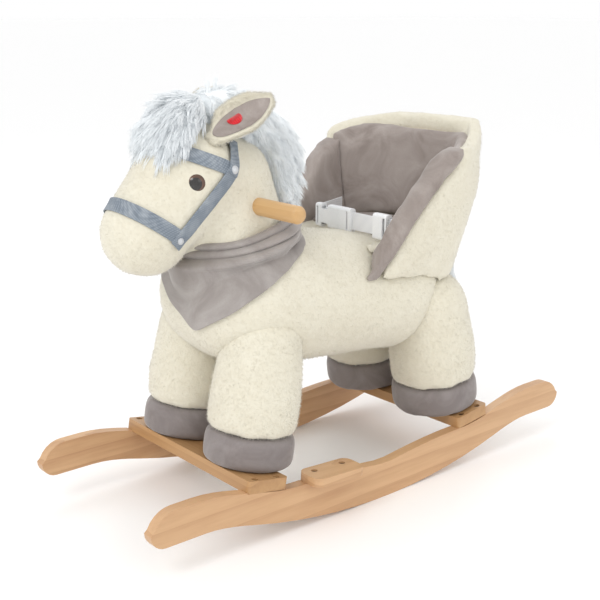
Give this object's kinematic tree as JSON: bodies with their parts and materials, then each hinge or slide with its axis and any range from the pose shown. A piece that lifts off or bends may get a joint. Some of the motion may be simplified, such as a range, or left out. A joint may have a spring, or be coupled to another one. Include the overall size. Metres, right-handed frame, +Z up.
{
  "type": "rocking horse",
  "caption": "Plush rocking horse on curved wooden rockers, with a bucket seat, lap belt, dowel handle, bridle, bandana and footrests.",
  "frame": {"origin": "on the floor, midway between the rockers and midway along them", "axes": "+X is the horse's left side, -Y is the way the horse looks, +Z is up"},
  "size_m": [0.322, 0.75, 0.5538],
  "materials": {
    "pine": "satin",
    "dowel": "satin",
    "plywood": "matte",
    "steel": "satin",
    "cream_plush": "short pile",
    "long_pile": "long pile",
    "velvet": "short velvet pile",
    "hoof_velvet": "short velvet pile",
    "red_button": "matte",
    "module_plastic": "matte",
    "circuit": "matte",
    "cell_steel": "satin",
    "speaker_brass": "satin",
    "eye": "gloss",
    "bridle_webbing": "woven",
    "belt_webbing": "woven",
    "buckle_plastic": "satin"
  },
  "bodies": {
    "horse": {"rocker_left": "pine", "rocker_right": "pine", "front_crossboard": "pine", "rear_crossboard": "pine", "footrest_left": "pine", "footrest_right": "pine", "crossboard_screws": "steel", "footrest_screws": "steel", "leg_bolts": "steel", "leg_posts": "pine", "spine_board": "plywood", "back_board": "plywood", "neck_post": "pine", "frame_screws": "steel", "handle": "dowel", "torso": "cream_plush", "head": "cream_plush", "front_leg_left": "cream_plush", "front_leg_right": "cream_plush", "rear_leg_left": "cream_plush", "rear_leg_right": "cream_plush", "front_hoof_left": "hoof_velvet", "front_hoof_right": "hoof_velvet", "rear_hoof_left": "hoof_velvet", "rear_hoof_right": "hoof_velvet", "forelock": "long_pile", "mane": "long_pile", "tail": "long_pile", "ear_left": "cream_plush", "ear_right": "cream_plush", "ear_lining_left": "velvet", "ear_lining_right": "velvet", "sound_housings": "module_plastic", "sound_covers": "module_plastic", "sound_boards": "circuit", "sound_cells": "cell_steel", "sound_speakers": "speaker_brass", "seat_shell": "cream_plush", "backrest_panel": "velvet", "wing_panel_left": "velvet", "wing_panel_right": "velvet", "seat_cushion": "velvet", "eyes": "eye", "noseband": "bridle_webbing", "cheek_straps": "bridle_webbing", "browband": "bridle_webbing", "crown_straps": "bridle_webbing", "rivets": "steel", "bandana": "velvet", "belt_strap_right": "belt_webbing", "belt_strap_anchor": "belt_webbing", "buckle_socket": "buckle_plastic"},
    "plug": {"buckle_plug": "buckle_plastic", "belt_strap_left": "belt_webbing"},
    "arm_upper": {"buckle_arm_upper": "buckle_plastic"},
    "arm_lower": {"buckle_arm_lower": "buckle_plastic"},
    "slider": {"belt_slider": "buckle_plastic"},
    "button_left": {"ear_button_left": "red_button"},
    "button_right": {"ear_button_right": "red_button"}
  },
  "joints": [
    {"name": "plug_slide", "type": "slide", "parent": "horse", "child": "plug", "axis": [1, 0, 0], "range_m": [0, 0.024]},
    {"name": "arm_upper_squeeze", "type": "slide", "parent": "plug", "child": "arm_upper", "axis": [0, 0, -1], "range_m": [0, 0.0025], "stiffness_N_per_m": 800},
    {"name": "arm_lower_squeeze", "type": "slide", "parent": "plug", "child": "arm_lower", "axis": [0, 0, 1], "range_m": [0, 0.0025], "stiffness_N_per_m": 800},
    {"name": "slider_adjust", "type": "slide", "parent": "horse", "child": "slider", "axis": [-1, 0, 0], "range_m": [0, 0.016]},
    {"name": "ear_button_left_press", "type": "slide", "parent": "horse", "child": "button_left", "axis": [-0.5517, 0.4521, -0.7009], "range_m": [0, 0.0015], "stiffness_N_per_m": 1200},
    {"name": "ear_button_right_press", "type": "slide", "parent": "horse", "child": "button_right", "axis": [0.5517, 0.4521, -0.7009], "range_m": [0, 0.0015], "stiffness_N_per_m": 1200}
  ],
  "couplings": [
    {"joint": "arm_lower_squeeze", "follows": "arm_upper_squeeze", "ratio": 1}
  ]
}
